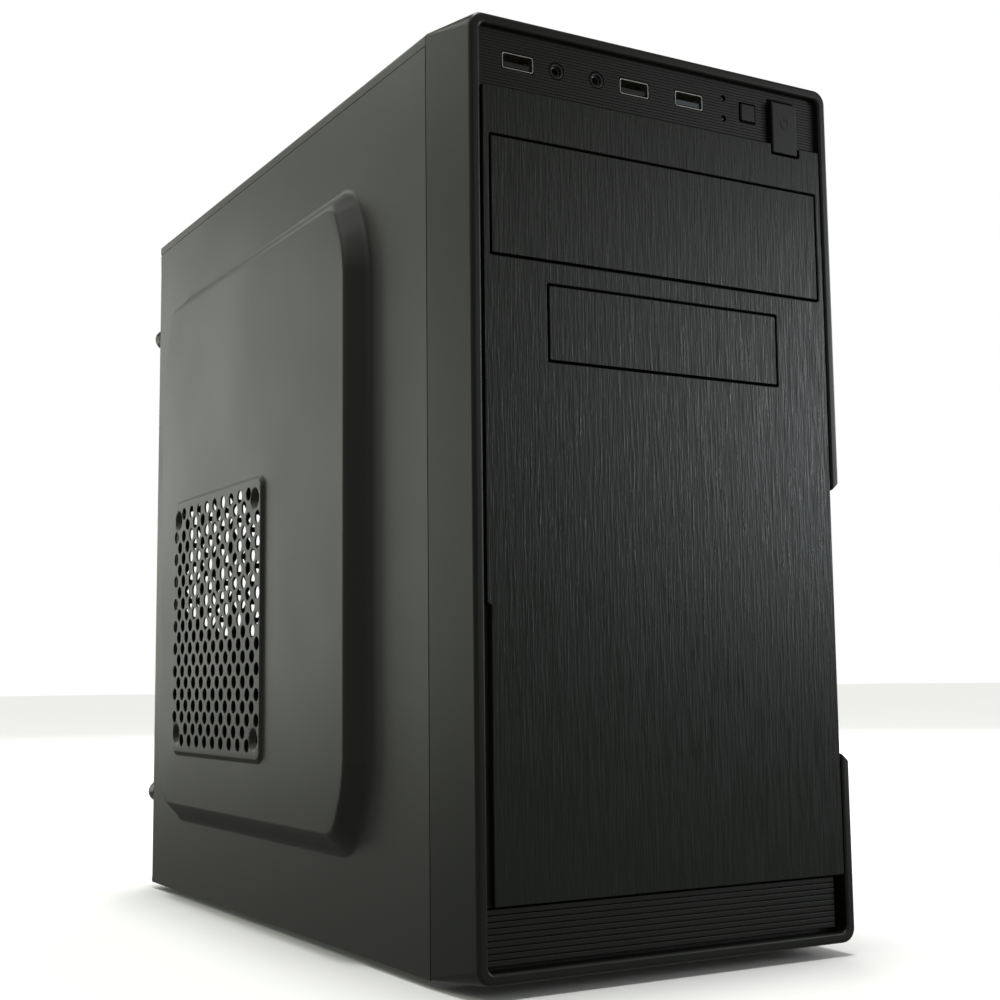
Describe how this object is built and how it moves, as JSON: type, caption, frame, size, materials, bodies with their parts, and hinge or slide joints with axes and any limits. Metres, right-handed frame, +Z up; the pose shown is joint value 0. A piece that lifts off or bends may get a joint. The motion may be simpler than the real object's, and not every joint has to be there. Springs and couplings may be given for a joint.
{
  "type": "desktop computer tower",
  "caption": "Upright desktop computer tower case with a brushed front, blank drive-bay covers, a front port strip, a vented bulged side panel and its working parts inside.",
  "frame": {"origin": "centre of the overall box at floor level, under the feet", "axes": "+Z up, the front bezel faces -Y, the vented side panel faces -X"},
  "size_m": [0.178, 0.358, 0.344],
  "materials": {
    "painted_steel": "satin powder coat",
    "bare_steel": "zinc plated",
    "screw_steel": "black zinc",
    "bezel_plastic": "fine texture",
    "brushed_face": "vertical hairline brushing",
    "foot_rubber": "matt",
    "socket_shell": "nickel plated",
    "light_pipe": "clear",
    "circuit_board": "solder mask",
    "dark_plastic": "moulded",
    "bare_aluminium": "extruded",
    "cable_jacket": "PVC"
  },
  "bodies": {
    "chassis": {"top_cover": "painted_steel", "rear_panel": "painted_steel", "bottom_pan": "bare_steel", "front_frame": "bare_steel", "motherboard_tray": "bare_steel", "drive_cage": "bare_steel", "psu_case": "bare_steel", "io_shield": "bare_steel", "slot_cover_1": "bare_steel", "slot_cover_2": "bare_steel", "slot_cover_3": "bare_steel", "slot_cover_4": "bare_steel", "front_bezel": "bezel_plastic", "face_plate": "brushed_face", "foot_front_left": "foot_rubber", "foot_front_right": "foot_rubber", "foot_rear_left": "foot_rubber", "foot_rear_right": "foot_rubber", "front_usb_port_1": "socket_shell", "front_usb_port_2": "socket_shell", "front_usb_port_3": "socket_shell", "usb_lan_sockets": "socket_shell", "audio_sockets": "socket_shell", "psu_fan_guard": "socket_shell", "power_light_pipe": "light_pipe", "drive_light_pipe": "light_pipe", "front_port_board": "circuit_board", "psu_board": "circuit_board", "motherboard": "circuit_board", "memory_module_1": "circuit_board", "memory_module_2": "circuit_board", "power_switch": "dark_plastic", "reset_switch": "dark_plastic", "front_headphone_jack": "dark_plastic", "front_microphone_jack": "dark_plastic", "psu_fan_frame": "dark_plastic", "cpu_fan_frame": "dark_plastic", "mains_inlet": "dark_plastic", "memory_socket_1": "dark_plastic", "memory_socket_2": "dark_plastic", "expansion_slot_1": "dark_plastic", "expansion_slot_2": "dark_plastic", "cpu_heatsink": "bare_aluminium", "hard_drive": "bare_aluminium", "main_power_cable": "cable_jacket", "drive_data_cable": "cable_jacket", "front_port_cable": "cable_jacket"},
    "left_side_panel": {"left_side_panel": "painted_steel"},
    "right_side_panel": {"right_side_panel": "painted_steel"},
    "large_bay_cover": {"large_bay_cover": "brushed_face"},
    "small_bay_cover": {"small_bay_cover": "brushed_face"},
    "power_button": {"power_button": "bezel_plastic"},
    "reset_button": {"reset_button": "bezel_plastic"},
    "psu_rocker": {"psu_rocker": "dark_plastic"},
    "psu_fan": {"psu_fan_rotor": "dark_plastic"},
    "cpu_fan": {"cpu_fan_rotor": "dark_plastic"},
    "thumbscrew_left_lower": {"thumbscrew_left_lower": "screw_steel"},
    "thumbscrew_left_upper": {"thumbscrew_left_upper": "screw_steel"},
    "thumbscrew_right_lower": {"thumbscrew_right_lower": "screw_steel"},
    "thumbscrew_right_upper": {"thumbscrew_right_upper": "screw_steel"}
  },
  "joints": [
    {"name": "power_button_press", "type": "slide", "parent": "chassis", "child": "power_button", "axis": [0, 1, 0], "range_m": [0, 0.002], "stiffness_N_per_m": 900},
    {"name": "reset_button_press", "type": "slide", "parent": "chassis", "child": "reset_button", "axis": [0, 1, 0], "range_m": [0, 0.0012], "stiffness_N_per_m": 900},
    {"name": "left_panel_slide", "type": "slide", "parent": "chassis", "child": "left_side_panel", "axis": [0, 1, 0], "range_m": [0, 0.022]},
    {"name": "right_panel_slide", "type": "slide", "parent": "chassis", "child": "right_side_panel", "axis": [0, 1, 0], "range_m": [0, 0.022]},
    {"name": "large_bay_cover_pull", "type": "slide", "parent": "chassis", "child": "large_bay_cover", "axis": [0, -1, 0], "range_m": [0, 0.03]},
    {"name": "small_bay_cover_pull", "type": "slide", "parent": "chassis", "child": "small_bay_cover", "axis": [0, -1, 0], "range_m": [0, 0.03]},
    {"name": "psu_rocker_tilt", "type": "hinge", "parent": "chassis", "child": "psu_rocker", "pos_m": [0.0505, 0.1658, 0.2799], "axis": [1, 0, 0], "range_deg": [0, 20]},
    {"name": "psu_fan_spin", "type": "hinge", "parent": "chassis", "child": "psu_fan", "pos_m": [-0.0215, 0.1515, 0.2999], "axis": [0, 1, 0], "continuous": true},
    {"name": "cpu_fan_spin", "type": "hinge", "parent": "chassis", "child": "cpu_fan", "pos_m": [0.0095, 0.0738, 0.175], "axis": [1, 0, 0], "continuous": true},
    {"name": "thumbscrew_left_lower_turn", "type": "hinge", "parent": "left_side_panel", "child": "thumbscrew_left_lower", "pos_m": [-0.0743, 0.1698, 0.049], "axis": [0, 1, 0], "continuous": true},
    {"name": "thumbscrew_left_upper_turn", "type": "hinge", "parent": "left_side_panel", "child": "thumbscrew_left_upper", "pos_m": [-0.0743, 0.1698, 0.294], "axis": [0, 1, 0], "continuous": true},
    {"name": "thumbscrew_right_lower_turn", "type": "hinge", "parent": "right_side_panel", "child": "thumbscrew_right_lower", "pos_m": [0.0833, 0.1698, 0.049], "axis": [0, 1, 0], "continuous": true},
    {"name": "thumbscrew_right_upper_turn", "type": "hinge", "parent": "right_side_panel", "child": "thumbscrew_right_upper", "pos_m": [0.0833, 0.1698, 0.294], "axis": [0, 1, 0], "continuous": true}
  ]
}
